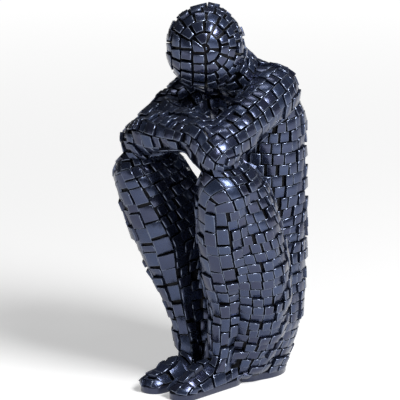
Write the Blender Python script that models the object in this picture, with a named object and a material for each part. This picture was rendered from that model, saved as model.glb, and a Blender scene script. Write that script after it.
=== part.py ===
"""A cast resin figurine of a seated figure: knees drawn up, arms folded on the knees, head bowed.

It is one solid. Its skin is a mosaic of small raised square tiles above a smooth rim, on which it rests. The figure
faces -Y, its left side is +X, and its base is on Z = 0.
"""

import math
import random

import bmesh
import bpy
from mathutils import Matrix, Vector
from mathutils.bvhtree import BVHTree

# Driving sizes, in metres. A reach is a distance forward of the spine and a spread a distance from the middle plane.
KNEE_HEIGHT = 0.1655
KNEE_REACH = 0.091
KNEE_SPREAD = 0.0434
KNEE_RADIUS = 0.0202
CALF_RADIUS = 0.0205
SHIN_RADIUS = 0.0112
ANKLE_HEIGHT = 0.0235
ANKLE_REACH = 0.063
ANKLE_SPREAD = 0.0145
ANKLE_RADIUS = 0.0092
HEEL_REACH = 0.051
INSTEP_REACH = 0.081
TOE_REACH = 0.1088
RIGHT_FOOT_SET_BACK = 0.001
HEEL_HALF_WIDTH = 0.0105
FOOT_TURN_OUT = 0.0025
FOOT_HALF_WIDTH = 0.0118
INSTEP_HEIGHT = 0.0228
TOE_HEIGHT = 0.0140
THIGH_RADIUS = 0.0278
THIGH_END_RADIUS = 0.0225
THIGH_SWEEP_BACK = 0.018
THIGH_SPLAY = 0.006
HIP_SPREAD = 0.014
HIP_REACH = 0.030
HIP_HEIGHT = 0.0255
HIP_RADIUS = 0.0235
SEAT_REACH = 0.012
SEAT_HALF_WIDTH = 0.0265
SEAT_HALF_DEPTH = 0.031
LOIN_HEIGHT = 0.047
LOIN_HALF_WIDTH = 0.0384
LOIN_HALF_DEPTH = 0.035
WAIST_HEIGHT = 0.1265
WAIST_REACH = -0.003
WAIST_HALF_WIDTH = 0.0384
WAIST_HALF_DEPTH = 0.032
CHEST_HEIGHT = 0.1895
CHEST_REACH = 0.0005
CHEST_HALF_WIDTH = 0.040
CHEST_HALF_DEPTH = 0.0315
BLADE_REACH = 0.004
BLADE_HALF_WIDTH = 0.0408
BLADE_HALF_DEPTH = 0.0285
LEFT_SHOULDER_HEIGHT = 0.2300
RIGHT_SHOULDER_HEIGHT = 0.2330
SHOULDER_SPREAD = 0.0306
SHOULDER_REACH = 0.0152
SHOULDER_RADIUS = 0.019
UPPER_ARM_RADIUS = 0.018
ELBOW_RADIUS = 0.0148
ELBOW_SPREAD = 0.0418
LEFT_ELBOW_HEIGHT = 0.1950
LEFT_ELBOW_REACH = 0.098
RIGHT_ELBOW_HEIGHT = 0.1938
RIGHT_ELBOW_REACH = 0.091
FOREARM_RADIUS = 0.0151
WRIST_RADIUS = 0.009
WRIST_SPREAD = 0.016
LEFT_WRIST_HEIGHT = 0.2120
LEFT_WRIST_REACH = 0.078
RIGHT_WRIST_HEIGHT = 0.2055
RIGHT_WRIST_REACH = 0.100
HAND_LENGTH = 0.021
HAND_HALF_WIDTH = 0.011
HAND_HALF_THICKNESS = 0.0075
NECK_RADIUS = 0.0185
NAPE_HEIGHT = 0.2355
NAPE_REACH = 0.016
HEAD_HEIGHT = 0.2695
HEAD_REACH = 0.059
HEAD_HALF_WIDTH = 0.0286
HEAD_HALF_DEPTH = 0.0317
HEAD_HALF_LENGTH = 0.0337
HEAD_BOW_DEG = 30.0
RIM_HEIGHT = 0.0045
TILE_SIZE = 0.0106
TILE_RISE = 0.0011
TILE_RISE_SPREAD = 0.0004
GROOVE_WIDTH = 0.0013
CREASE_DEG = 80.0
NARROW_GAP = 0.012
FACET_LIFT = 0.0004

RING_POINTS = 28
STATION_STEPS = 5
DOME_STEPS = 5
BLEND_VOXEL = 0.002
BLEND_SMOOTHING = 8
MM = 0.001
TILE_SEED = 4

RESIN_COLOUR = (0.024, 0.028, 0.055, 1)
RESIN_ROUGHNESS = 0.3


def point(spread, reach, height):
    """A place on the body from its distance to the left, forward of the spine and above the base."""
    return Vector((spread, -reach, height))


def smooth_rows(stations):
    """Catmull-Rom rows through the stations, each of them (centre, half width, half depth)."""
    rows = [(*centre, width, depth) for centre, width, depth in stations]
    first = [2 * a - b for a, b in zip(rows[0], rows[1])]
    last = [2 * a - b for a, b in zip(rows[-1], rows[-2])]
    padded = [first, *rows, last]
    found = []
    for a, b, c, d in zip(padded, padded[1:], padded[2:], padded[3:]):
        for step in range(STATION_STEPS):
            t = step / STATION_STEPS
            row = []
            for p, q, r, s in zip(a, b, c, d):
                bend = (r - p) * t + (2 * p - 5 * q + 4 * r - s) * t**2 + (3 * q - p - 3 * r + s) * t**3
                row.append(q + bend / 2)
            found.append(row)
    found.append(rows[-1])
    return [(Vector(row[:3]), row[3], row[4]) for row in found]


def domed_rows(rows):
    """The rows with rings added at both ends, so that the limb ends in a dome. Each row gains its direction."""
    centres = [row[0] for row in rows]
    found = []
    for index, (centre, half_width, half_depth) in enumerate(rows):
        along = (centres[min(index + 1, len(rows) - 1)] - centres[max(index - 1, 0)]).normalized()
        dome = min(half_width, half_depth)
        lean = [math.pi / 2 * step / (DOME_STEPS + 1) for step in range(1, DOME_STEPS + 1)]
        if index == 0:
            for angle in reversed(lean):
                shrink = math.cos(angle)
                place = centre - along * (dome * math.sin(angle))
                found.append((place, along, half_width * shrink, half_depth * shrink))
        found.append((centre, along, half_width, half_depth))
        if index == len(rows) - 1:
            for angle in lean:
                shrink = math.cos(angle)
                place = centre + along * (dome * math.sin(angle))
                found.append((place, along, half_width * shrink, half_depth * shrink))
    return found


def add_limb(bm, stations, side=Vector((1, 0, 0))):
    """A round-ended tube through the stations. Half widths lie along side, and half depths square to it."""
    rings = []
    for centre, along, half_width, half_depth in domed_rows(smooth_rows(stations)):
        across = (side - along * side.dot(along)).normalized()
        up = along.cross(across)
        ring = []
        for k in range(RING_POINTS):
            turn = 2 * math.pi * k / RING_POINTS
            offset = across * (half_width * math.cos(turn)) + up * (half_depth * math.sin(turn))
            ring.append(bm.verts.new(centre + offset))
        rings.append(ring)
    for ring, following in zip(rings, rings[1:]):
        for k in range(RING_POINTS):
            after = (k + 1) % RING_POINTS
            bm.faces.new((ring[k], ring[after], following[after], following[k]))
    bm.faces.new(list(reversed(rings[0])))
    bm.faces.new(rings[-1])


def add_torso(bm):
    """The torso, from the seat over the loins, waist, chest and shoulder blades to the top of the shoulders."""
    seat = (point(0, SEAT_REACH, 0), SEAT_HALF_WIDTH, SEAT_HALF_DEPTH)
    buttocks = (point(0, SEAT_REACH * 0.7, LOIN_HEIGHT / 2), LOIN_HALF_WIDTH * 0.87, LOIN_HALF_DEPTH * 0.95)
    loins = (point(0, SEAT_REACH * 0.3, LOIN_HEIGHT), LOIN_HALF_WIDTH, LOIN_HALF_DEPTH)
    small = (point(0, 0, (LOIN_HEIGHT + WAIST_HEIGHT) / 2), LOIN_HALF_WIDTH * 1.03, LOIN_HALF_DEPTH)
    waist = (point(0, WAIST_REACH, WAIST_HEIGHT), WAIST_HALF_WIDTH, WAIST_HALF_DEPTH)
    chest = (point(0, CHEST_REACH, CHEST_HEIGHT), CHEST_HALF_WIDTH, CHEST_HALF_DEPTH)
    shoulder_height = (LEFT_SHOULDER_HEIGHT + RIGHT_SHOULDER_HEIGHT) / 2
    blades = (point(0, BLADE_REACH, (CHEST_HEIGHT + shoulder_height) / 2), BLADE_HALF_WIDTH, BLADE_HALF_DEPTH)
    top = (point(0, SHOULDER_REACH, shoulder_height), SHOULDER_SPREAD, SHOULDER_RADIUS)
    add_limb(bm, [seat, buttocks, loins, small, waist, chest, blades, top])


def add_neck_and_head(bm):
    nape = point(0, NAPE_REACH, NAPE_HEIGHT)
    head = point(0, HEAD_REACH, HEAD_HEIGHT)
    add_limb(bm, [(nape, NECK_RADIUS, NECK_RADIUS), (head, NECK_RADIUS, NECK_RADIUS)])
    turn = Matrix.Rotation(math.radians(HEAD_BOW_DEG), 4, "X")
    egg = Matrix.Diagonal((HEAD_HALF_WIDTH, HEAD_HALF_DEPTH, HEAD_HALF_LENGTH, 1))
    place = Matrix.Translation(head) @ turn @ egg
    bmesh.ops.create_uvsphere(bm, u_segments=32, v_segments=20, radius=1, matrix=place)


def add_leg(bm, side):
    """A thigh and a shin that meet at the knee. The thigh leaves the knee backwards before it runs down."""
    knee = point(side * KNEE_SPREAD, KNEE_REACH, KNEE_HEIGHT)
    ankle = point(side * ANKLE_SPREAD, ANKLE_REACH, ANKLE_HEIGHT)
    hip = point(side * HIP_SPREAD, HIP_REACH, HIP_HEIGHT)
    thigh = [(knee, KNEE_RADIUS, KNEE_RADIUS)]
    for share, sweep, splay, radius in (
        (0.01, 1.00, -0.4, THIGH_END_RADIUS),
        (0.26, 1.00, 0.3, THIGH_RADIUS),
        (0.59, 0.80, 1.1, THIGH_RADIUS),
        (0.84, 0.45, 0.6, HIP_RADIUS * 1.1),
    ):
        offset = Vector((side * splay * THIGH_SPLAY, sweep * THIGH_SWEEP_BACK, 0))
        thigh.append((knee.lerp(hip, share) + offset, radius, radius))
    thigh.append((hip, HIP_RADIUS, HIP_RADIUS))
    add_limb(bm, thigh)
    back = Vector((0, CALF_RADIUS, 0))
    add_limb(
        bm,
        [
            (knee, KNEE_RADIUS, KNEE_RADIUS),
            (knee.lerp(ankle, 0.28) + back * 0.15, CALF_RADIUS, CALF_RADIUS),
            (knee.lerp(ankle, 0.48) + back * 0.25, CALF_RADIUS * 0.9, CALF_RADIUS * 0.9),
            (knee.lerp(ankle, 0.72) + back * 0.20, SHIN_RADIUS, SHIN_RADIUS),
            (ankle, ANKLE_RADIUS, ANKLE_RADIUS),
        ],
    )


def add_foot(bm, side):
    """A foot, with the middle of its sections just above the base, so that the base plane cuts a broad sole."""
    set_back = RIGHT_FOOT_SET_BACK if side < 0 else 0
    middle_half_width = (HEEL_HALF_WIDTH + FOOT_HALF_WIDTH) / 2
    heel = point(side * (ANKLE_SPREAD - FOOT_TURN_OUT / 2), HEEL_REACH, RIM_HEIGHT)
    instep = point(side * ANKLE_SPREAD, INSTEP_REACH - set_back, RIM_HEIGHT)
    toes = point(side * (ANKLE_SPREAD + FOOT_TURN_OUT / 2), TOE_REACH - set_back, RIM_HEIGHT)
    add_limb(
        bm,
        [
            (heel, HEEL_HALF_WIDTH, INSTEP_HEIGHT - RIM_HEIGHT),
            (instep, middle_half_width, INSTEP_HEIGHT - RIM_HEIGHT),
            (toes, FOOT_HALF_WIDTH, TOE_HEIGHT - RIM_HEIGHT),
        ],
    )


def add_arm(bm, shoulder, elbow, wrist):
    """An upper arm from inside the shoulder to the elbow, a forearm to the wrist, and a flat hand."""
    collar = Vector((shoulder.x / 2, shoulder.y * 0.7, shoulder.z))
    add_limb(
        bm,
        [
            (collar, SHOULDER_RADIUS, SHOULDER_RADIUS),
            (shoulder, SHOULDER_RADIUS, SHOULDER_RADIUS),
            (shoulder.lerp(elbow, 0.45), UPPER_ARM_RADIUS, UPPER_ARM_RADIUS),
            (elbow, ELBOW_RADIUS, ELBOW_RADIUS),
        ],
    )
    up = Vector((0, 0, 1))
    lift = up * FOREARM_RADIUS * 0.2
    add_limb(
        bm,
        [
            (elbow, ELBOW_RADIUS, ELBOW_RADIUS),
            (elbow.lerp(wrist, 0.3) + lift, FOREARM_RADIUS, FOREARM_RADIUS),
            (elbow.lerp(wrist, 0.6) + lift, FOREARM_RADIUS * 0.88, FOREARM_RADIUS * 0.85),
            (wrist, WRIST_RADIUS, WRIST_RADIUS),
        ],
        side=up,
    )
    fingers = wrist + (wrist - elbow).normalized() * HAND_LENGTH
    add_limb(
        bm,
        [
            (wrist, WRIST_RADIUS, WRIST_RADIUS),
            (wrist.lerp(fingers, 0.5), HAND_HALF_WIDTH, HAND_HALF_THICKNESS),
            (fingers, HAND_HALF_WIDTH * 0.75, HAND_HALF_THICKNESS * 0.8),
        ],
        side=up,
    )


def add_limbs(bm):
    """Every limb as a closed tube of its own, overlapping its neighbours."""
    add_torso(bm)
    add_neck_and_head(bm)
    for side in (1, -1):
        add_leg(bm, side)
        add_foot(bm, side)
    left_elbow = point(ELBOW_SPREAD, LEFT_ELBOW_REACH, LEFT_ELBOW_HEIGHT)
    left_wrist = point(-WRIST_SPREAD, LEFT_WRIST_REACH, LEFT_WRIST_HEIGHT)
    left_shoulder = point(SHOULDER_SPREAD, SHOULDER_REACH, LEFT_SHOULDER_HEIGHT)
    add_arm(bm, left_shoulder, left_elbow, left_wrist)
    right_elbow = point(-ELBOW_SPREAD, RIGHT_ELBOW_REACH, RIGHT_ELBOW_HEIGHT)
    right_wrist = point(WRIST_SPREAD, RIGHT_WRIST_REACH, RIGHT_WRIST_HEIGHT)
    right_shoulder = point(-SHOULDER_SPREAD, SHOULDER_REACH, RIGHT_SHOULDER_HEIGHT)
    add_arm(bm, right_shoulder, right_elbow, right_wrist)


def run_limbs_together(thing):
    """One smooth skin from the overlapping limbs."""
    remesh = thing.modifiers.new("run together", "REMESH")
    remesh.mode = "VOXEL"
    remesh.voxel_size = BLEND_VOXEL
    soften = thing.modifiers.new("soften", "SMOOTH")
    soften.iterations = BLEND_SMOOTHING
    bm = bmesh.new()
    bm.from_object(thing, bpy.context.evaluated_depsgraph_get())
    thing.modifiers.clear()
    bm.to_mesh(thing.data)
    bm.free()


def lay_out_tiles(thing):
    """The skin as one square for each tile. It is worked in millimetres, which suits the remesher's tolerances."""
    area = sum(polygon.area for polygon in thing.data.polygons)
    thing.data.transform(Matrix.Scale(1 / MM, 4))
    bpy.context.view_layer.objects.active = thing
    thing.select_set(True)
    bpy.ops.object.quadriflow_remesh(
        mode="FACES", target_faces=round(area / TILE_SIZE**2), seed=TILE_SEED, use_mesh_symmetry=False
    )
    thing.data.transform(Matrix.Scale(MM, 4))


def cut_level(bm):
    """The skin cut off level at the top of the rim. Corners of tiles near the cut move onto it first."""
    for vert in bm.verts:
        if abs(vert.co.z - RIM_HEIGHT) < TILE_SIZE / 4:
            vert.co.z = RIM_HEIGHT
    bmesh.ops.bisect_plane(
        bm,
        geom=bm.verts[:] + bm.edges[:] + bm.faces[:],
        dist=MM / 100,
        plane_co=(0, 0, RIM_HEIGHT),
        plane_no=(0, 0, -1),
        clear_outer=True,
    )
    level = [face for face in bm.faces if max(vert.co.z for vert in face.verts) < RIM_HEIGHT + MM / 100]
    bmesh.ops.delete(bm, geom=level, context="FACES")
    loose = [edge for edge in bm.edges if not edge.link_faces]
    bmesh.ops.delete(bm, geom=loose, context="EDGES")


def open_loops(bm):
    """The loops of open edges that the level cut left, each as a list of edges."""
    waiting = {edge for edge in bm.edges if edge.is_boundary}
    loops = []
    while waiting:
        loop = [waiting.pop()]
        for edge in loop:
            for vert in edge.verts:
                for following in waiting.intersection(vert.link_edges):
                    waiting.remove(following)
                    loop.append(following)
        loops.append(loop)
    return loops


def lies_inside(place, loop):
    """Whether a place on the level cut lies within a loop of edges."""
    crossings = 0
    for edge in loop:
        a, b = (vert.co for vert in edge.verts)
        if (a.y > place.y) != (b.y > place.y):
            crossings += place.x < a.x + (b.x - a.x) * (place.y - a.y) / (b.y - a.y)
    return crossings % 2 == 1


def fill_pits(bm):
    """A loop that lies within another is a pit between the limbs. It is closed at the top of the rim."""
    loops = open_loops(bm)
    for loop in loops:
        if any(other is not loop and lies_inside(loop[0].verts[0].co, other) for other in loops):
            bmesh.ops.holes_fill(bm, edges=loop, sides=0)


def add_rim(bm):
    """The smooth rim: the open edge drawn straight down to the base, and closed by one flat face."""
    fill_pits(bm)
    open_edges = [edge for edge in bm.edges if edge.is_boundary]
    drawn = bmesh.ops.extrude_edge_only(bm, edges=open_edges)["geom"]
    for item in drawn:
        if isinstance(item, bmesh.types.BMVert):
            item.co.z = 0
    low_edges = [item for item in drawn if isinstance(item, bmesh.types.BMEdge)]
    bmesh.ops.holes_fill(bm, edges=low_edges, sides=0)
    bmesh.ops.recalc_face_normals(bm, faces=bm.faces[:])


def sharpest_crease(face):
    """The angle by which a face and a neighbour turn towards each other, at its sharpest crease."""
    return max([0.0] + [edge.calc_face_angle() for edge in face.edges if not edge.is_convex])


def has_room(face, skin):
    """Whether the face is a square above the rim that looks out of the body, and not across a narrow gap in it."""
    if len(face.verts) != 4 or min(vert.co.z for vert in face.verts) < RIM_HEIGHT / 2:
        return False
    start = face.calc_center_median() + face.normal * TILE_RISE
    return skin.ray_cast(start, face.normal, NARROW_GAP)[0] is None


def raise_tiles(bm):
    """Each tile stands above the grooves around it, at its own height, or lower where it lies in a crease."""
    bm.normal_update()
    for vert in bm.verts:
        if vert.co.z > RIM_HEIGHT * 1.01:
            vert.co += vert.normal * FACET_LIFT
    bm.normal_update()
    skin = BVHTree.FromBMesh(bm)
    tiles = {face: sharpest_crease(face) for face in bm.faces if has_room(face, skin)}
    chance = random.Random(TILE_SEED)
    for tile, crease in tiles.items():
        rise = TILE_RISE + chance.uniform(-TILE_RISE_SPREAD, TILE_RISE_SPREAD)
        if crease > math.radians(CREASE_DEG):
            continue
        room = GROOVE_WIDTH / 2 / math.tan(max(crease, math.radians(1)) / 2)
        depth = min(rise, 0.8 * room)
        bmesh.ops.inset_individual(bm, faces=[tile], thickness=GROOVE_WIDTH / 2, depth=depth, use_even_offset=True)


def centre_on_origin(bm):
    """The figurine moved over the base plane, so that the middle of its outer box stands over the origin."""
    for axis in (0, 1):
        places = [vert.co[axis] for vert in bm.verts]
        middle = (min(places) + max(places)) / 2
        for vert in bm.verts:
            vert.co[axis] -= middle


def resin():
    material = bpy.data.materials.new("navy resin")
    material.use_nodes = True
    shader = material.node_tree.nodes["Principled BSDF"]
    shader.inputs["Base Color"].default_value = RESIN_COLOUR
    shader.inputs["Roughness"].default_value = RESIN_ROUGHNESS
    shader.inputs["Metallic"].default_value = 0
    return material


def make_figurine():
    bm = bmesh.new()
    add_limbs(bm)
    mesh = bpy.data.meshes.new("figurine")
    bm.to_mesh(mesh)
    bm.free()
    figurine = bpy.data.objects.new("figurine", mesh)
    bpy.context.scene.collection.objects.link(figurine)
    run_limbs_together(figurine)
    lay_out_tiles(figurine)
    bm = bmesh.new()
    bm.from_mesh(figurine.data)
    cut_level(bm)
    add_rim(bm)
    raise_tiles(bm)
    centre_on_origin(bm)
    bm.to_mesh(figurine.data)
    bm.free()
    figurine.data.materials.append(resin())


def main():
    for old in list(bpy.data.objects):
        bpy.data.objects.remove(old)
    make_figurine()


if __name__ == "__main__":
    main()
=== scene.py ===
import math
import random

import bmesh
import bpy
from mathutils import Matrix, Vector
from mathutils.bvhtree import BVHTree


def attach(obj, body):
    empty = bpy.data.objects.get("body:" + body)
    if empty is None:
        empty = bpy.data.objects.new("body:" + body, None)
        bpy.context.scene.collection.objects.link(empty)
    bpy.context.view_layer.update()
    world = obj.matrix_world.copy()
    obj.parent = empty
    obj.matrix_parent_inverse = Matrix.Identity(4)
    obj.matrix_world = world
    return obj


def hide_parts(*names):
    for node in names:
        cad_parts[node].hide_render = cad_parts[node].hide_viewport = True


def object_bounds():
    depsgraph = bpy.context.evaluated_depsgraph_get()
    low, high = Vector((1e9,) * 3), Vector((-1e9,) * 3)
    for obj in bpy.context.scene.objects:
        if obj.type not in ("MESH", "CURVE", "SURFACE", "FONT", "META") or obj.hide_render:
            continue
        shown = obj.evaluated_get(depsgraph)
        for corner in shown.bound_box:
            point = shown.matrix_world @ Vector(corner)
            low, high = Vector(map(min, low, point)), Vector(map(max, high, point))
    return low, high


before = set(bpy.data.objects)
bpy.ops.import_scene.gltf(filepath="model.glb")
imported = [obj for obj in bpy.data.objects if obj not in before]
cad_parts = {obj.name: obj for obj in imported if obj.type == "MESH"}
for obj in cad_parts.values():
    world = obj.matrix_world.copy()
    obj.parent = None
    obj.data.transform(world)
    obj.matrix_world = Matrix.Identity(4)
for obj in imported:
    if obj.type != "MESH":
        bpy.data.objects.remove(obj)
cadLow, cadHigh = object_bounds()
mm = 0.001
tiny = 1e-6  # guards a division by a length in metres
print("frame loaded, box", [round(v, 4) for v in (*cadLow, *cadHigh)])


# The camera looks from the figure's front left, a little above it
camera = {
    "azimuth": 42,  # degrees round from the front, towards the figure's left side
    "elevation": 13,
    "distance": 3.5,
    "target": (-0.0006, -0.0278, 0.1483),
    "frameHeight": 0.3090,  # metres of the scene that the picture is high, at the target
}


def viewDirection(azimuth, elevation):
    a, e = math.radians(azimuth), math.radians(elevation)
    return Vector((math.sin(a) * math.cos(e), -math.cos(a) * math.cos(e), math.sin(e)))


def placeCamera():
    data = bpy.data.cameras.new("camera")
    data.sensor_width = 36
    data.lens = data.sensor_width / 2 / (camera["frameHeight"] / 2 / camera["distance"])
    data.clip_end = 100
    holder = bpy.data.objects.new("camera", data)
    back = viewDirection(camera["azimuth"], camera["elevation"])
    holder.location = Vector(camera["target"]) + back * camera["distance"]
    holder.rotation_mode = "QUATERNION"
    holder.rotation_quaternion = (-back).to_track_quat("-Z", "Y")
    bpy.context.scene.collection.objects.link(holder)
    bpy.context.scene.camera = holder


placeCamera()


# Body sizes in metres. A reach is a distance forward of the spine, a spread one from the middle plane.
# headBow is in degrees, and smoothing is a number of passes
body = {
    "kneeHeight": 0.1655, "kneeReach": 0.091, "kneeSpread": 0.0434, "kneeRadius": 0.0202,
    "calfRadius": 0.0205, "shinRadius": 0.0112,
    "ankleHeight": 0.0235, "ankleReach": 0.063, "ankleSpread": 0.0145, "ankleRadius": 0.0092,
    "heelReach": 0.051, "instepReach": 0.081, "toeReach": 0.1062, "rightFootSetBack": 0.001,
    "heelHalfWidth": 0.0105, "footTurnOut": 0.0025, "footHalfWidth": 0.0110,
    "instepHeight": 0.0228, "toeHeight": 0.0140,
    "thighRadius": 0.0278, "thighEndRadius": 0.0225, "thighSweepBack": 0.018, "thighSplay": 0.006,
    "hipSpread": 0.014, "hipReach": 0.030, "hipHeight": 0.0255, "hipRadius": 0.0235,
    "seatReach": 0.012, "seatHalfWidth": 0.0265, "seatHalfDepth": 0.031,
    "loinHeight": 0.047, "loinHalfWidth": 0.0384, "loinHalfDepth": 0.035,
    "waistHeight": 0.1265, "waistReach": -0.003, "waistHalfWidth": 0.0384, "waistHalfDepth": 0.032,
    "chestHeight": 0.1895, "chestReach": 0.0005, "chestHalfWidth": 0.040, "chestHalfDepth": 0.0338,
    "bladeReach": 0.004, "bladeHalfWidth": 0.0408, "bladeHalfDepth": 0.0285,
    "leftShoulderHeight": 0.2300, "rightShoulderHeight": 0.2330,
    "shoulderSpread": 0.0306, "shoulderReach": 0.0152, "shoulderRadius": 0.019,
    "upperArmRadius": 0.018, "elbowRadius": 0.0148, "elbowSpread": 0.0418,
    "leftElbowHeight": 0.1950, "leftElbowReach": 0.098,
    "rightElbowHeight": 0.1938, "rightElbowReach": 0.091,
    "forearmRadius": 0.0151, "wristRadius": 0.009, "wristSpread": 0.016,
    "leftWristHeight": 0.2120, "leftWristReach": 0.078,
    "rightWristHeight": 0.2055, "rightWristReach": 0.100,
    "handLength": 0.021, "handHalfWidth": 0.011, "handHalfThickness": 0.0075,
    "neckRadius": 0.0185, "napeHeight": 0.2355, "napeReach": 0.016,
    "headHeight": 0.2677, "headReach": 0.0605, "headHalfWidth": 0.0286, "headHalfDepth": 0.0317,
    "headHalfLength": 0.0337, "headBow": 30,
    "rimHeight": 0.0045, "rimEdge": 0.0007,
    "voxel": 0.002, "smoothing": 8,
}


def point(spread, reach, height):
    return Vector((spread, -reach, height))


def smoothRows(stations, steps=5):
    # Catmull-Rom rows through the stations, each of them (centre, half width, half depth)
    rows = [(*centre, width, depth) for centre, width, depth in stations]
    first = [2 * a - b for a, b in zip(rows[0], rows[1])]
    last = [2 * a - b for a, b in zip(rows[-1], rows[-2])]
    padded = [first, *rows, last]
    found = []
    for a, b, c, d in zip(padded, padded[1:], padded[2:], padded[3:]):
        for step in range(steps):
            t = step / steps
            row = []
            for p, q, r, s in zip(a, b, c, d):
                bend = (r - p) * t + (2 * p - 5 * q + 4 * r - s) * t**2 + (3 * q - p - 3 * r + s) * t**3
                row.append(q + bend / 2)
            found.append(row)
    found.append(rows[-1])
    return [(Vector(row[:3]), row[3], row[4]) for row in found]


def domedRows(rows, steps=5):
    # The rows with rings added at both ends, so that the limb ends in a dome
    centres = [row[0] for row in rows]
    last = len(rows) - 1
    lean = [math.pi / 2 * step / (steps + 1) for step in range(1, steps + 1)]
    found = []
    for index, (centre, halfWidth, halfDepth) in enumerate(rows):
        along = (centres[min(index + 1, last)] - centres[max(index - 1, 0)]).normalized()
        dome = min(halfWidth, halfDepth)
        before = [-angle for angle in reversed(lean)] if index == 0 else []
        after = lean if index == last else []
        for angle in (*before, 0, *after):
            shrink = math.cos(angle)
            middle = centre + along * (dome * math.sin(angle))
            found.append((middle, along, halfWidth * shrink, halfDepth * shrink))
    return found


def addLimb(bm, stations, side=Vector((1, 0, 0)), around=28):
    rings = []
    for centre, along, halfWidth, halfDepth in domedRows(smoothRows(stations)):
        across = (side - along * side.dot(along)).normalized()
        up = along.cross(across)
        ring = []
        for k in range(around):
            turn = 2 * math.pi * k / around
            place = centre + across * (halfWidth * math.cos(turn))
            place += up * (halfDepth * math.sin(turn))
            ring.append(bm.verts.new(place))
        rings.append(ring)
    for ring, following in zip(rings, rings[1:]):
        for k in range(around):
            after = (k + 1) % around
            bm.faces.new((ring[k], ring[after], following[after], following[k]))
    bm.faces.new(list(reversed(rings[0])))
    bm.faces.new(rings[-1])


def addTorso(bm, b):
    shoulderHeight = (b["leftShoulderHeight"] + b["rightShoulderHeight"]) / 2
    small = (b["loinHeight"] + b["waistHeight"]) / 2
    blades = (b["chestHeight"] + shoulderHeight) / 2
    levels = (  # height, reach, half width and half depth, from the seat up, some as shares of the loins'
        (0, b["seatReach"], b["seatHalfWidth"], b["seatHalfDepth"]),
        (b["loinHeight"] / 2, b["seatReach"] * 0.7, b["loinHalfWidth"] * 0.87, b["loinHalfDepth"] * 0.95),
        (b["loinHeight"], b["seatReach"] * 0.3, b["loinHalfWidth"], b["loinHalfDepth"]),
        (small, 0, b["loinHalfWidth"] * 1.03, b["loinHalfDepth"]),
        (b["waistHeight"], b["waistReach"], b["waistHalfWidth"], b["waistHalfDepth"]),
        (b["chestHeight"], b["chestReach"], b["chestHalfWidth"], b["chestHalfDepth"]),
        (blades, b["bladeReach"], b["bladeHalfWidth"], b["bladeHalfDepth"]),
        (shoulderHeight, b["shoulderReach"], b["shoulderSpread"], b["shoulderRadius"]),
    )
    addLimb(bm, [(point(0, reach, height), width, depth) for height, reach, width, depth in levels])


def headPlace(b):
    # Turns a ball of radius 1 into the head
    egg = Matrix.Diagonal((b["headHalfWidth"], b["headHalfDepth"], b["headHalfLength"], 1))
    head = point(0, b["headReach"], b["headHeight"])
    return Matrix.Translation(head) @ Matrix.Rotation(math.radians(b["headBow"]), 4, "X") @ egg


def addHead(bm, b):
    nape = point(0, b["napeReach"], b["napeHeight"])
    place = headPlace(b)
    neck = b["neckRadius"]
    addLimb(bm, [(nape, neck, neck), (place.translation, neck, neck)])
    bmesh.ops.create_uvsphere(bm, u_segments=32, v_segments=20, radius=1, matrix=place)


def legPoints(b, side):
    knee = point(side * b["kneeSpread"], b["kneeReach"], b["kneeHeight"])
    ankle = point(side * b["ankleSpread"], b["ankleReach"], b["ankleHeight"])
    hip = point(side * b["hipSpread"], b["hipReach"], b["hipHeight"])
    return knee, ankle, hip


def addLeg(bm, b, side):
    knee, ankle, hip = legPoints(b, side)
    thigh = [(knee, b["kneeRadius"], b["kneeRadius"])]
    for share, sweep, splay, radius in (  # share of the way to the hip, and of the sweep back and the splay
        (0.01, 1.00, -0.4, b["thighEndRadius"]),
        (0.26, 1.00, 0.3, b["thighRadius"]),
        (0.59, 0.80, 1.1, b["thighRadius"]),
        (0.84, 0.45, 0.6, b["hipRadius"] * 1.1),
    ):
        offset = Vector((side * splay * b["thighSplay"], sweep * b["thighSweepBack"], 0))
        thigh.append((knee.lerp(hip, share) + offset, radius, radius))
    thigh.append((hip, b["hipRadius"], b["hipRadius"]))
    addLimb(bm, thigh)
    back = Vector((0, b["calfRadius"], 0))
    shin = [(knee, b["kneeRadius"], b["kneeRadius"])]
    for share, bulge, radius in (  # share of the way to the ankle, and of the calf's radius to the back
        (0.28, 0.15, b["calfRadius"]),
        (0.48, 0.25, b["calfRadius"] * 0.9),
        (0.72, 0.20, b["shinRadius"]),
    ):
        shin.append((knee.lerp(ankle, share) + back * bulge, radius, radius))
    shin.append((ankle, b["ankleRadius"], b["ankleRadius"]))
    addLimb(bm, shin)


def addFoot(bm, b, side):
    setBack = b["rightFootSetBack"] if side < 0 else 0
    heel = point(side * (b["ankleSpread"] - b["footTurnOut"] / 2), b["heelReach"], b["rimHeight"])
    instep = point(side * b["ankleSpread"], b["instepReach"] - setBack, b["rimHeight"])
    toes = point(side * (b["ankleSpread"] + b["footTurnOut"] / 2), b["toeReach"] - setBack, b["rimHeight"])
    addLimb(bm, [
        (heel, b["heelHalfWidth"], b["instepHeight"] - b["rimHeight"]),
        (instep, (b["heelHalfWidth"] + b["footHalfWidth"]) / 2, b["instepHeight"] - b["rimHeight"]),
        (toes, b["footHalfWidth"], b["toeHeight"] - b["rimHeight"]),
    ])


def armPoints(b, side):
    name = "left" if side > 0 else "right"
    shoulder = point(side * b["shoulderSpread"], b["shoulderReach"], b[name + "ShoulderHeight"])
    elbow = point(side * b["elbowSpread"], b[name + "ElbowReach"], b[name + "ElbowHeight"])
    wrist = point(-side * b["wristSpread"], b[name + "WristReach"], b[name + "WristHeight"])
    return shoulder, elbow, wrist


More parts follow.
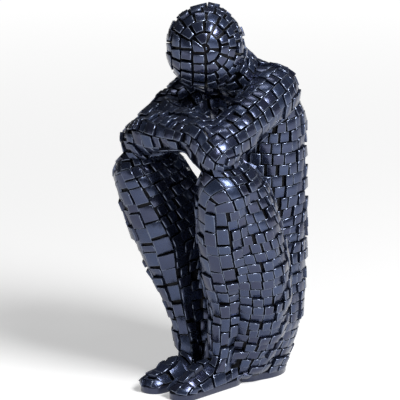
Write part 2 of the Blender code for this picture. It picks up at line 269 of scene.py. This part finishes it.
def addArm(bm, b, side):
    shoulder, elbow, wrist = armPoints(b, side)
    collar = Vector((shoulder.x / 2, shoulder.y * 0.7, shoulder.z))
    addLimb(bm, [
        (collar, b["shoulderRadius"], b["shoulderRadius"]),
        (shoulder, b["shoulderRadius"], b["shoulderRadius"]),
        (shoulder.lerp(elbow, 0.45), b["upperArmRadius"], b["upperArmRadius"]),
        (elbow, b["elbowRadius"], b["elbowRadius"]),
    ])
    up = Vector((0, 0, 1))
    lift = up * b["forearmRadius"] * 0.2
    addLimb(bm, [
        (elbow, b["elbowRadius"], b["elbowRadius"]),
        (elbow.lerp(wrist, 0.3) + lift, b["forearmRadius"], b["forearmRadius"]),
        (elbow.lerp(wrist, 0.6) + lift, b["forearmRadius"] * 0.88, b["forearmRadius"] * 0.85),
        (wrist, b["wristRadius"], b["wristRadius"]),
    ], side=up)
    fingers = wrist + (wrist - elbow).normalized() * b["handLength"]
    addLimb(bm, [
        (wrist, b["wristRadius"], b["wristRadius"]),
        (wrist.lerp(fingers, 0.5), b["handHalfWidth"], b["handHalfThickness"]),
        (fingers, b["handHalfWidth"] * 0.75, b["handHalfThickness"] * 0.8),
    ], side=up)


def newThing(name, bm=None):
    mesh = bpy.data.meshes.new(name)
    if bm is not None:
        bm.to_mesh(mesh)
        bm.free()
    thing = bpy.data.objects.new(name, mesh)
    bpy.context.scene.collection.objects.link(thing)
    return thing


def makeBody(b):
    # One smooth closed skin from the overlapping limbs
    bm = bmesh.new()
    addTorso(bm, b)
    addHead(bm, b)
    for side in (1, -1):
        addLeg(bm, b, side)
        addFoot(bm, b, side)
        addArm(bm, b, side)
    thing = newThing("core", bm)
    remesh = thing.modifiers.new("run together", "REMESH")
    remesh.mode = "VOXEL"
    remesh.voxel_size = b["voxel"]
    soften = thing.modifiers.new("soften", "SMOOTH")
    soften.iterations = b["smoothing"]
    bm = bmesh.new()
    bm.from_object(thing, bpy.context.evaluated_depsgraph_get())
    thing.modifiers.clear()
    bm.to_mesh(thing.data)
    bm.free()
    return thing


core = makeBody(body)
print("smooth body", len(core.data.polygons), "faces")


# The mosaic. Lengths in metres
mosaic = {
    "tile": 0.0083,
    "lengthSpread": 0.2,  # share by which a tile's length varies
    "leastLength": 0.45,  # a shorter rest of a row, in squares, is shared out to its other tiles
    "longTile": 1.3,  # a limb with tiles of more squares mixes in short ones
    "shortShare": 0.3,
    "shortLength": 0.6,  # as a share of the long ones
    "lowRise": (-0.0004, 0.0002),  # height over the skin
    "highRise": (0.0013, 0.0023),
    "highShare": 0.5,
    "tilt": 0.0004,  # how far a tile's edge may stand over its middle
    "joint": 0.0005,
    "wideJoint": (0.0017, 0.0029),
    "wideShare": 0.3,
    "wideFrom": 0.9,  # a tile of fewer squares has no wide joint
    "sideJoint": 0.3,  # the most that a joint takes of a row's width on one side
    "edge": 0.00055,  # rounding of the upper edges
    "bevel": 0.3,  # share of the edge at which its bevel turns
    "corner": 1.35,  # how much further in than its sides a tile's corners move
    "crown": 0.00006,  # how far a tile's middle stands over its rim
    "flatness": 0.8,  # 1 is a flat tile, 0 one that follows the body
    # the depth attribute at the root, upper side, rounded edge and rim of the top. Its middle has 1. From it
    # the material paints shade low on each tile's sides and a highlight on its rounded edge
    "shades": (0, 0.45, 0.6, 0.75),
    "root": 0.0026,  # how deep a tile goes under the skin
    "grooveFloor": 0.0016,  # how far the core lies under the skin that carries the tiles
    "sinkStart": 0.001,  # height over the rim at which the core starts to sink to that
    "sinkReach": 0.002,  # height in which it does
    "rimGap": 0.0003,  # from the rim to the lowest tiles
    "upperDrop": 0.012,  # the upper tiles start this far below chestHeight
    "legReach": 0.032,  # the tiles of the legs lie further forward than this
    "footTop": 1.5,  # the feet's tiles end at this many times instepHeight
    "seed": 1,  # of the grid of squares
    "chance": 15,  # seed of the draws
}

# The feet have thicker tiles
footMosaic = {**mosaic, "highRise": (0.0016, 0.0030), "highShare": 0.6, "tilt": 0.0006}

# The head has its own rows, set round a pole that nearly faces the camera, with more relief
headMosaic = {
    **mosaic,
    "tile": 0.0092,
    "joint": 0.0013,
    "wideShare": 0.12,
    "lowRise": (-0.0004, 0.0004),
    "highRise": (0.0012, 0.0022),
    "highShare": 0.6,
    "pole": (40, 9),  # azimuth and elevation in degrees
    "poleRoom": 6,  # degrees from the pole to the first ring
    "rows": 5,  # between the pole and a quarter turn from it
    "easing": 0.5,  # radians in which the rings close in on the columns
    "ringSteps": 54,
    "columnSteps": 36,
    "limit": 1.05,  # the head ends where the skin lies this many times its radius from its middle
}

# For each limb: whether its rows of tiles run along it or round it, and its tiles' length in squares
grain = {
    "trunk": (False, 1.1),
    "head": (False, 1.0),
    "thigh": (False, 1.1),
    "shin": (True, 1.6),
    "foot": (True, 1.5),
    "upperArm": (True, 1.1),
    "forearm": (True, 1.15),
    "trunkRadius": 0.036,
    "headRadius": 0.026,
    "shinRadius": 1.3,  # times the shin's own
    "thighSetBack": 0.02,  # from the knee's middle to the start of the thigh's axis
}


def layGrid(thing, m):
    # The skin as one square for each place of the mosaic, worked in millimetres
    grid = newThing("grid")
    grid.data = thing.data.copy()
    area = sum(polygon.area for polygon in grid.data.polygons)
    grid.data.transform(Matrix.Scale(1 / mm, 4))
    bpy.context.view_layer.objects.active = grid
    grid.select_set(True)
    bpy.ops.object.quadriflow_remesh(
        mode="FACES", target_faces=round(area / m["tile"] ** 2), seed=m["seed"], use_mesh_symmetry=False
    )
    grid.data.transform(Matrix.Scale(mm, 4))
    bm = bmesh.new()
    bm.from_mesh(grid.data)
    bpy.data.objects.remove(grid)
    return bm


def limbAxes(b, g):
    # Each limb's axis from start to end, with its radius and its grain
    seat, breast = point(0, b["seatReach"], 0), point(0, 0, b["shoulderRadius"] + b["chestHeight"])
    nape, head = point(0, b["napeReach"], b["napeHeight"]), point(0, b["headReach"], b["headHeight"])
    axes = [(seat, breast, g["trunkRadius"], *g["trunk"]), (nape, head, g["headRadius"], *g["head"])]
    for side in (1, -1):
        knee, ankle, hip = legPoints(b, side)
        shoulder, elbow, wrist = armPoints(b, side)
        underKnee = knee + Vector((0, g["thighSetBack"], 0))
        toes = point(ankle.x, b["toeReach"], 0)
        axes.append((underKnee, hip, b["thighRadius"], *g["thigh"]))
        axes.append((knee, ankle, b["shinRadius"] * g["shinRadius"], *g["shin"]))
        axes.append((ankle, toes, b["footHalfWidth"], *g["foot"]))
        axes.append((shoulder, elbow, b["upperArmRadius"], *g["upperArm"]))
        axes.append((elbow, wrist, b["forearmRadius"], *g["forearm"]))
    return axes


def grainAt(place, normal, axes):
    # The way in which the rows run at a place on the skin, and the length of its tiles in squares
    best = None
    for start, end, radius, runsAlong, length in axes:
        along = end - start
        share = max(0, min(1, (place - start).dot(along) / along.length_squared))
        distance = (place - (start + along * share)).length / radius
        if best is None or distance < best[0]:
            best = (distance, along.normalized(), runsAlong, length)
    _, along, runsAlong, length = best
    return along if runsAlong else along.cross(normal), length


def findRows(bm, axes, m):
    # Chains of squares that follow the grain: the points of each one's two rails, whether it closes, and m
    crossing = {}
    for face in bm.faces:
        if len(face.verts) != 4:
            continue
        a, b, c, d = (vert.co for vert in face.verts)
        first = ((b - a) + (c - d)).normalized()
        second = ((c - b) + (d - a)).normalized()
        way, _ = grainAt(face.calc_center_median(), face.normal, axes)
        edges = [loop.edge for loop in face.loops]
        if abs(first.dot(way)) > abs(second.dot(way)):
            crossing[face] = (edges[1], edges[3])
        else:
            crossing[face] = (edges[0], edges[2])

    def step(face, edge):
        # The square on the other side of a crossing edge, if its row goes on there
        for other in edge.link_faces:
            if other is not face and edge in crossing.get(other, ()):
                return other
        return None

    used = set()
    rows = []
    for face in bm.faces:
        if face not in crossing:  # a three-sided place between the rows takes one tile of its own
            corners = [vert.co.copy() for vert in face.verts]
            middle = (corners[0] + corners[-1]) / 2
            rows.append(([(corners[0], corners[1]), (middle, corners[2])], False, m))
            continue
        if face in used:
            continue
        start, entry = face, crossing[face][0]
        seen = {start}
        while True:
            before = step(start, entry)
            if before is None or before in used or before in seen:
                break
            pair = crossing[before]
            start, entry = before, pair[1] if pair[0] is entry else pair[0]
            seen.add(start)
        here, edge = start, entry
        left, right = edge.verts
        rails = [(left.co.copy(), right.co.copy())]
        while here is not None and here not in used:
            used.add(here)
            pair = crossing[here]
            out = pair[1] if pair[0] is edge else pair[0]
            rail = next(side for side in here.edges if side not in (edge, out) and left in side.verts)
            left = rail.other_vert(left)
            right = out.other_vert(left)
            rails.append((left.co.copy(), right.co.copy()))
            edge = out
            here = step(here, out)
        closed = here is start and edge is entry
        rows.append((rails, closed, m))
    return rows


def onHead(place, b, m):
    return (headPlace(b).inverted() @ place).length < m["limit"]


def headRows(b, m, skin):
    # Each row climbs the lower left of the head as an upright column, and then turns round the pole
    place = headPlace(b)
    pole = viewDirection(*m["pole"])
    down = (pole * pole.z - Vector((0, 0, 1))).normalized()
    left = down.cross(pole)
    room = math.radians(m["poleRoom"])
    bottom, side = -math.pi / 2, math.pi
    ringSteps, columnSteps = m["ringSteps"], m["columnSteps"]
    turns = [bottom + (side - bottom) * k / ringSteps for k in range(ringSteps + 1)]

    def ring(fromPole, turn):
        outward = left * math.cos(turn) + down * math.sin(turn)
        return pole * math.cos(fromPole) - outward * math.sin(fromPole)

    def column(aside, turn):
        return left * math.sin(aside) + (pole * math.cos(turn) + down * math.sin(turn)) * math.cos(aside)

    def rail(aside):
        # Round the back, up the columns and round the front. Away from the columns the rings stand off
        # the pole, where a three-sided tile lies
        spare = room * (1 - aside * 2 / math.pi)
        fromPole = [aside + spare * min(1, (side - turn) / m["easing"]) for turn in turns]
        line = [ring(math.pi - away, turn) for away, turn in zip(fromPole, turns)]
        line += [column(aside, math.pi * (1 - k / columnSteps)) for k in range(1, columnSteps)]
        line += reversed([ring(away, turn) for away, turn in zip(fromPole, turns)])
        found = []
        for direction in line:
            hit = skin.ray_cast(place.translation, direction)[0]
            found.append(hit if hit is not None and onHead(hit, b, m) else None)
        return found

    rails = [rail(math.pi / 2 * k / m["rows"]) for k in range(m["rows"] + 1)]
    corners = ((0.7, math.pi * 0.6), (1, bottom), (1.2, -0.1))  # share of poleRoom, and turn
    upper, lower, aside = (
        skin.ray_cast(place.translation, ring(room * share, turn))[0] for share, turn in corners
    )
    rows = [([(upper, lower), ((upper + aside) / 2, aside)], False, m)]
    for inner, outer in zip(rails, rails[1:]):
        run = []
        for pair in [*zip(inner, outer), (None, None)]:
            if None not in pair:
                run.append(pair)
            else:
                if len(run) > 2:
                    rows.append((run, False, m))
                run = []
    return rows


def alongRow(rails):
    # How far along the row each pair of its rail points lies
    middles = [(left + right) / 2 for left, right in rails]
    reach = [0.0]
    for before, after in zip(middles, middles[1:]):
        reach.append(reach[-1] + (after - before).length)
    return reach


def railPoint(rails, reach, distance):
    # Both rail points at a distance along the row
    for k in range(len(reach) - 1):
        if distance <= reach[k + 1] or k == len(reach) - 2:
            share = (distance - reach[k]) / max(reach[k + 1] - reach[k], tiny)
            return rails[k][0].lerp(rails[k + 1][0], share), rails[k][1].lerp(rails[k + 1][1], share)


def cutLengths(rails, reach, axes, m, chance):
    # Lengths of the tiles that fill a row
    total = reach[-1]
    lengths = []
    done = 0
    while done < total - m["tile"] * m["leastLength"]:
        left, right = railPoint(rails, reach, done)
        _, squares = grainAt((left + right) / 2, Vector((0, 0, 1)), axes)
        if squares > m["longTile"] and chance.random() < m["shortShare"]:
            squares *= m["shortLength"]
        length = m["tile"] * squares * (1 + chance.uniform(-1, 1) * m["lengthSpread"])
        lengths.append(length)
        done += length
    scale = total / max(done, tiny)
    return [length * scale for length in lengths] or [total]


def tileBase(places, m):
    # The 3 x 3 places on which a tile stands: its start, middle and end, on both sides and between them
    base = []
    for left, right in places:
        width = (right - left).length
        inset = min(m["sideJoint"], m["joint"] / 2 / max(width, tiny))
        base.append([left.lerp(right, inset), (left + right) / 2, left.lerp(right, 1 - inset)])
    return base


def clearOfRim(base, b, m):
    # Draws a tile that reaches over the rim up to just above it. False where too little is left of it
    heights = [place.z for line in base for place in line]
    lowest, highest = min(heights), max(heights)
    foot = b["rimHeight"] + m["rimGap"]
    if lowest >= foot:
        return True
    if highest < b["rimHeight"] + m["tile"] * m["leastLength"]:
        return False
    for line in base:
        for place in line:
            share = (place.z - lowest) / max(highest - lowest, tiny)
            place.z = foot + share * (highest - foot)
    return True


class TileMesh:
    # Points, faces and per-point shades of many tiles
    border = ((0, 0), (1, 0), (2, 0), (2, 1), (2, 2), (1, 2), (0, 2), (0, 1))  # round the 3 x 3 places

    def __init__(self):
        self.points, self.faces, self.flat, self.tone, self.depth = [], [], [], [], []
        self.count = 0

    def add(self, base, skin, m, chance):
        # base is a 3 x 3 grid of places on the rails. The tile stands on the skin there
        found = [[skin.find_nearest(place) for place in line] for line in base]
        places = [[hit[0] for hit in line] for line in found]
        normal = sum((hit[1] for line in found for hit in line), Vector()).normalized()
        centre = sum((place for line in places for place in line), Vector()) / 9
        if (places[2][1] - places[0][1]).cross(places[1][2] - places[1][0]).dot(normal) < 0:
            places = [line[::-1] for line in places]
        high = chance.random() < m["highShare"]
        rise = chance.uniform(*(m["highRise"] if high else m["lowRise"]))
        tilt = [chance.uniform(-1, 1) * m["tilt"] for _ in range(2)]
        tone = chance.random()

        def top(p, q, drop, inset):
            place = places[p][q]
            flat = place - normal * ((place - centre).dot(normal) * m["flatness"])
            inward = centre - flat
            inward -= normal * inward.dot(normal)
            lift = rise + tilt[0] * (p - 1) + tilt[1] * (q - 1) - drop
            if inward.length > tiny:
                flat = flat + inward.normalized() * inset * (m["corner"] if p != 1 and q != 1 else 1)
            return flat + normal * lift

        edge, bevel = m["edge"], m["edge"] * m["bevel"]
        first = len(self.points)
        rings = [
            [places[p][q] - normal * m["root"] for p, q in self.border],
            [top(p, q, edge, 0) for p, q in self.border],
            [top(p, q, bevel, bevel) for p, q in self.border],
            [top(p, q, 0, edge) for p, q in self.border],
        ]
        for shade, ring in zip(m["shades"], rings):
            self.points.extend(ring)
            self.depth.extend([shade] * len(ring))
        self.points.append(top(1, 1, -m["crown"], 0))
        self.depth.append(1)
        self.tone.extend([tone] * (len(self.points) - first))
        self.addFaces(first, len(rings))
        self.count += 1

    def addFaces(self, first, levels):
        # The sides between the rings, and four faces that meet in the middle of the top
        around = len(self.border)
        for level in range(levels - 1):
            start = first + level * around
            for k in range(around):
                low, after = start + k, start + (k + 1) % around
                self.faces.append((low, after, after + around, low + around))
                self.flat.append(level == 0)
        rim = first + (levels - 1) * around
        for k in range(0, around, 2):
            self.faces.append((rim + k, rim + (k + 1) % around, rim + around, rim + (k - 1) % around))
            self.flat.append(False)

    def build(self, name):
        mesh = bpy.data.meshes.new(name)
        mesh.from_pydata([tuple(place) for place in self.points], [], self.faces)
        tone = mesh.attributes.new("tone", "FLOAT", "POINT")
        tone.data.foreach_set("value", self.tone)
        depth = mesh.attributes.new("depth", "FLOAT", "POINT")
        depth.data.foreach_set("value", self.depth)
        mesh.polygons.foreach_set("use_smooth", [not flat for flat in self.flat])
        mesh.update()
        thing = bpy.data.objects.new(name, mesh)
        bpy.context.scene.collection.objects.link(thing)
        return thing


def groupOf(centre, b, m):
    if centre.z > b["chestHeight"] - m["upperDrop"]:
        return "tiles_upper"
    return "tiles_torso" if centre.y > -m["legReach"] else "tiles_legs"


def makeTiles(thing, b, m):
    chance = random.Random(m["chance"])
    bm = bmesh.new()
    bm.from_mesh(thing.data)
    skin = BVHTree.FromBMesh(bm)
    bm.free()
    grid = layGrid(thing, m)
    covered = [face for face in grid.faces if onHead(face.calc_center_median(), b, headMosaic)]
    bmesh.ops.delete(grid, geom=covered, context="FACES")
    axes = limbAxes(b, grain)
    rows = findRows(grid, axes, m) + headRows(b, headMosaic, skin)
    grid.free()
    print("rows of tiles", len(rows))
    parts = {"tiles_upper": TileMesh(), "tiles_torso": TileMesh(), "tiles_legs": TileMesh()}
    for rails, closed, kind in rows:
        reach = alongRow(rails)
        total = reach[-1]
        cuts = cutLengths(rails, reach, axes, kind, chance)
        start = 0.0
        shift = chance.uniform(0, total) if closed else 0.0
        for length in cuts:
            gap = kind["joint"]
            if chance.random() < kind["wideShare"] and length > kind["tile"] * kind["wideFrom"]:
                gap = chance.uniform(*kind["wideJoint"])
            low, high = start + kind["joint"] / 2, start + length - gap
            start += length
            distances = [low + (high - low) * share + shift for share in (0, 0.5, 1)]
            if closed:
                distances = [distance % total for distance in distances]
            base = tileBase([railPoint(rails, reach, distance) for distance in distances], kind)
            if not clearOfRim(base, b, kind):
                continue
            centre = base[1][1]
            onFoot = centre.z < b["instepHeight"] * m["footTop"] and centre.y < -b["heelReach"]
            parts[groupOf(centre, b, m)].add(base, skin, footMosaic if onFoot else kind, chance)
    print("tiles", sum(part.count for part in parts.values()))
    return [part.build(name) for name, part in parts.items()]


tiles = makeTiles(core, body, mosaic)


def cutRim(thing, b, m):
    # The core below the tiles: cut level at the rim and drawn straight down to a rounded edge at the base.
    # The rim stands as far out as the skin does
    bm = bmesh.new()
    bm.from_mesh(thing.data)
    bm.normal_update()
    for vert in bm.verts:
        sunk = max(0, min(1, (vert.co.z - b["rimHeight"] - m["sinkStart"]) / m["sinkReach"]))
        vert.co -= vert.normal * (m["grooveFloor"] * sunk)
    bmesh.ops.bisect_plane(
        bm, geom=bm.verts[:] + bm.edges[:] + bm.faces[:], dist=tiny,
        plane_co=(0, 0, b["rimHeight"]), plane_no=(0, 0, -1), clear_outer=True,
    )
    rounding = b["rimEdge"]
    for height, inset in ((rounding, 0), (rounding * 0.3, rounding * 0.3), (0, rounding * 0.7)):
        border = [edge for edge in bm.edges if edge.is_boundary]
        drawn = bmesh.ops.extrude_edge_only(bm, edges=border)["geom"]
        ring = [item for item in drawn if isinstance(item, bmesh.types.BMVert)]
        for vert in ring:
            vert.co.z = height
        if inset:
            bm.normal_update()
            moves = {}
            for vert in ring:
                openSides = sum(edge.is_boundary for edge in vert.link_edges)
                outward = Vector((vert.normal.x, vert.normal.y, 0))
                if outward.length > tiny and openSides == 2:
                    moves[vert] = outward.normalized() * inset
            for vert, move in moves.items():
                vert.co -= move
    border = [edge for edge in bm.edges if edge.is_boundary]
    bmesh.ops.holes_fill(bm, edges=border, sides=0)
    bmesh.ops.recalc_face_normals(bm, faces=bm.faces[:])
    for face in bm.faces:
        face.smooth = len(face.verts) < 8  # all but the base, which is one face with many corners
    bm.to_mesh(thing.data)
    bm.free()


cutRim(core, body, mosaic)
print("rim cut")


def fitToBox(things):
    # The dressed figure moved and, if need be, drawn in to the solid's box
    low, high = Vector((math.inf,) * 3), Vector((-math.inf,) * 3)
    for thing in things:
        for vert in thing.data.vertices:
            low = Vector(map(min, low, vert.co))
            high = Vector(map(max, high, vert.co))
    scale = [min(1, (cadHigh[k] - cadLow[k]) / (high[k] - low[k])) for k in range(3)]
    middle = Vector(((low.x + high.x) / 2, (low.y + high.y) / 2, 0))
    target = Vector(((cadLow.x + cadHigh.x) / 2, (cadLow.y + cadHigh.y) / 2, 0))
    move = Matrix.Translation(target) @ Matrix.Diagonal((*scale, 1)) @ Matrix.Translation(-middle)
    for thing in things:
        thing.data.transform(move)
    print("fitted by", [round(v, 4) for v in scale], "from", [round(v, 4) for v in (*low, *high)])


fitToBox([core, *tiles])


# Shader maths
class Socket:
    def __init__(self, tree, output):
        self.tree, self.output = tree, output

    def maths(self, operation, *values):
        return node(self.tree, "ShaderNodeMath", {"operation": operation}, dict(enumerate(values)))

    def __add__(self, other):
        return self.maths("ADD", self, other)

    def __radd__(self, other):
        return self.maths("ADD", other, self)

    def __sub__(self, other):
        return self.maths("SUBTRACT", self, other)

    def __rsub__(self, other):
        return self.maths("SUBTRACT", other, self)

    def __mul__(self, other):
        return self.maths("MULTIPLY", self, other)

    def __rmul__(self, other):
        return self.maths("MULTIPLY", other, self)


def node(tree, kind, settings=None, values=None, output=0):
    # A node of that type: its settings first, then the values or links of its sockets
    made = tree.nodes.new(kind)
    for name, value in (settings or {}).items():
        setattr(made, name, value)
    for name, value in (values or {}).items():
        if isinstance(value, Socket):
            tree.links.new(value.output, made.inputs[name])
        else:
            made.inputs[name].default_value = value
    return Socket(tree, made.outputs[output]) if made.outputs else made


def mixColour(tree, share, first, second):
    return node(tree, "ShaderNodeMix", {"data_type": "RGBA"}, {0: share, 6: first, 7: second}, output=2)


def ramp(tree, value, start, end):
    # 0 at start and 1 at end, and no more beyond them
    return node(tree, "ShaderNodeMapRange", None, {0: value, 1: start, 2: end, 3: 0.0, 4: 1.0})


def noise(tree, place, scale, detail, roughness=0.5):
    values = {"Vector": place, "Scale": scale, "Detail": detail, "Roughness": roughness}
    return node(tree, "ShaderNodeTexNoise", None, values)


def bump(tree, height, strength, distance):
    return node(tree, "ShaderNodeBump", None, {"Strength": strength, "Distance": distance, "Height": height})


def newMaterial(name):
    material = bpy.data.materials.new(name)
    material.use_nodes = True
    material.node_tree.nodes.clear()
    return material, material.node_tree


def finishMaterial(tree, values):
    shader = node(tree, "ShaderNodeBsdfPrincipled", None, values)
    node(tree, "ShaderNodeOutputMaterial", None, {"Surface": shader})


resin = {
    "tile": (0.038, 0.042, 0.082, 1),
    "tileBlue": (0.050, 0.075, 0.150, 1),
    # painted highlight: a light colour on each tile's rounded upper edge, standing in for the lamps' glint
    # on it
    "edge": (0.150, 0.180, 0.260, 1),
    # painted shade: near black for the grooves between the tiles and the low sides of the tiles, where shade
    # falls
    "grooveShade": (0.004, 0.004, 0.006, 1),
    "rim": (0.036, 0.044, 0.086, 1),
    "metallic": 0.75,
    "roughness": 0.24,
    "roughnessSpread": 0.12,
    "coat": 0.25,
    "coatRoughness": 0.15,
    # sizes of the patterns. The streaks are drawn out along the height
    "cloudScale": 420.0,
    "speckScale": 2600.0,
    "streakScale": 1500.0,
    "streakDraw": (1, 1, 0.12),
    # how far each turns a tile blue, changes its roughness and adds to its relief
    "toneBlue": 0.6,
    "cloudBlue": 0.3,
    "streakBlue": 0.6,
    "cloudRoughness": 0.2,
    "streakRoughness": 0.15,
    "cloudRelief": 0.6,
    "speckRelief": 0.2,
    "streakRelief": 0.4,
    # values of depth between which a tile's side fades out of the painted groove shade, and the painted
    # highlight on its edge fades in and out
    "grooveShadeFade": (0.05, 0.5),
    "glintIn": (0.45, 0.58),
    "glintOut": (0.76, 0.70),
    "bumpStrength": 0.4,
    "bumpDistance": 0.0004,
    # the core
    "grooveRoughness": 0.42,
    "rimRoughness": 0.30,
    "rimCoat": 0.4,
    "rimFade": (0.0016, 0.0004),  # heights over the rim between which its colour sets in
    "coreScale": 300.0,
    "coreBumpStrength": 0.25,
    "coreBumpDistance": 0.0006,
}


def tileMaterial(r):
    material, tree = newMaterial("mosaic resin")
    place = node(tree, "ShaderNodeTexCoord", output=3)
    tone = node(tree, "ShaderNodeAttribute", {"attribute_name": "tone"}, output=2)
    depth = node(tree, "ShaderNodeAttribute", {"attribute_name": "depth"}, output=2)
    cloud = noise(tree, place, r["cloudScale"], 4, 0.6)
    speck = noise(tree, place, r["speckScale"], 2)
    drawn = node(tree, "ShaderNodeMapping", None, {"Vector": place, "Scale": r["streakDraw"]})
    streak = noise(tree, drawn, r["streakScale"], 3)
    blueShare = tone * r["toneBlue"] + cloud * r["cloudBlue"] + (streak - 0.5) * r["streakBlue"]
    blue = mixColour(tree, blueShare, r["tile"], r["tileBlue"])
    # painted shade: each tile's side darkens towards its root, as if shade fell in the groove
    colour = mixColour(tree, ramp(tree, depth, *r["grooveShadeFade"]), r["grooveShade"], blue)
    # painted highlight: the light edge colour on each tile's rounded upper edge, set by the depth attribute
    paintedGlintShare = ramp(tree, depth, *r["glintIn"]) * ramp(tree, depth, *r["glintOut"])
    colour = mixColour(tree, paintedGlintShare, colour, r["edge"])
    roughness = r["roughness"] + (tone - 0.5) * r["roughnessSpread"]
    roughness += (cloud - 0.5) * r["cloudRoughness"] + (streak - 0.5) * r["streakRoughness"]
    relief = cloud * r["cloudRelief"] + speck * r["speckRelief"] + streak * r["streakRelief"]
    finishMaterial(tree, {
        "Base Color": colour, "Roughness": roughness,
        "Normal": bump(tree, relief, r["bumpStrength"], r["bumpDistance"]),
        "Metallic": r["metallic"], "Coat Weight": r["coat"], "Coat Roughness": r["coatRoughness"],
    })
    return material


def coreMaterial(r, b):
    material, tree = newMaterial("groove resin")
    place = node(tree, "ShaderNodeTexCoord", output=3)
    height = node(tree, "ShaderNodeSeparateXYZ", None, {"Vector": place}, output=2)
    # the rim keeps the resin's colour. Above it the core is painted near black, as painted shade in the
    # grooves between the tiles
    rimShare = ramp(tree, height, *(b["rimHeight"] + fade for fade in r["rimFade"]))
    cloud = noise(tree, place, r["coreScale"], 3)
    roughness = r["grooveRoughness"] + rimShare * (r["rimRoughness"] - r["grooveRoughness"])
    roughness += (cloud - 0.5) * r["cloudRoughness"]
    finishMaterial(tree, {
        "Base Color": mixColour(tree, rimShare, r["grooveShade"], r["rim"]), "Roughness": roughness,
        "Normal": bump(tree, cloud, r["coreBumpStrength"], r["coreBumpDistance"]),
        "Metallic": r["metallic"],
        "Coat Weight": rimShare * r["rimCoat"], "Coat Roughness": r["coatRoughness"],
    })
    return material


tileResin = tileMaterial(resin)
for part in tiles:
    part.data.materials.append(tileResin)
    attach(part, "root")
core.data.materials.append(coreMaterial(resin, body))
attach(core, "root")
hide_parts("figurine")
print("resin on")


# Studio: pale floor, soft lamps
studio = {
    "floorSize": 12,
    "floorColour": (0.82, 0.82, 0.82, 1),
    "floorGlow": (0.38, 1.0),  # near the figure, where the lamps light the floor too, and far away
    "glowReach": (0.3, 2.0),
    "worldLight": 0.05,
    "lampAim": (0, 0, 0.15),
    "lamps": [
        # name, azimuth, elevation, distance, width, height, power
        ("key", 80, 42, 1.3, 0.46, 0.50, 21),
        ("left", -30, 6, 1.4, 0.8, 0.6, 1),
        ("top", 222, 76, 1.3, 0.7, 0.3, 3),
    ],
}


def makeStudio(s):
    bm = bmesh.new()
    bmesh.ops.create_grid(bm, x_segments=1, y_segments=1, size=s["floorSize"] / 2)
    floor = newThing("floor", bm)
    material, tree = newMaterial("floor")
    seen = node(tree, "ShaderNodeLightPath", output="Is Camera Ray")
    for kind in ("Is Glossy Ray", "Is Transmission Ray"):
        seen = seen.maths("MAXIMUM", seen, node(tree, "ShaderNodeLightPath", output=kind))
    shade = node(tree, "ShaderNodeBsdfDiffuse", None, {"Color": s["floorColour"]})
    place = node(tree, "ShaderNodeTexCoord", output=3)
    away = node(tree, "ShaderNodeVectorMath", {"operation": "LENGTH"}, {0: place}, output=1)
    near, far = s["floorGlow"]
    strength = near + ramp(tree, away, *s["glowReach"]) * (far - near)
    glow = node(tree, "ShaderNodeEmission", None, {"Color": (1, 1, 1, 1), "Strength": seen * strength})
    both = node(tree, "ShaderNodeAddShader", None, {0: shade, 1: glow})
    node(tree, "ShaderNodeOutputMaterial", None, {"Surface": both})
    floor.data.materials.append(material)

    world = bpy.data.worlds.new("studio")
    bpy.context.scene.world = world
    world.use_nodes = True
    tree = world.node_tree
    tree.nodes.clear()
    seen = node(tree, "ShaderNodeLightPath", output="Is Camera Ray")
    strength = s["worldLight"] + seen * (1 - s["worldLight"])
    light = node(tree, "ShaderNodeBackground", None, {"Color": (1, 1, 1, 1), "Strength": strength})
    node(tree, "ShaderNodeOutputWorld", None, {"Surface": light})

    for name, azimuth, elevation, distance, width, height, power in s["lamps"]:
        data = bpy.data.lights.new(name, "AREA")
        data.shape = "RECTANGLE"
        data.size, data.size_y = width, height
        data.energy = power
        lamp = bpy.data.objects.new(name, data)
        back = viewDirection(azimuth, elevation)
        lamp.location = Vector(s["lampAim"]) + back * distance
        lamp.rotation_mode = "QUATERNION"
        lamp.rotation_quaternion = (-back).to_track_quat("-Z", "Y")
        bpy.context.scene.collection.objects.link(lamp)


makeStudio(studio)
bpy.context.scene.view_settings.view_transform = "Standard"
print("studio set")
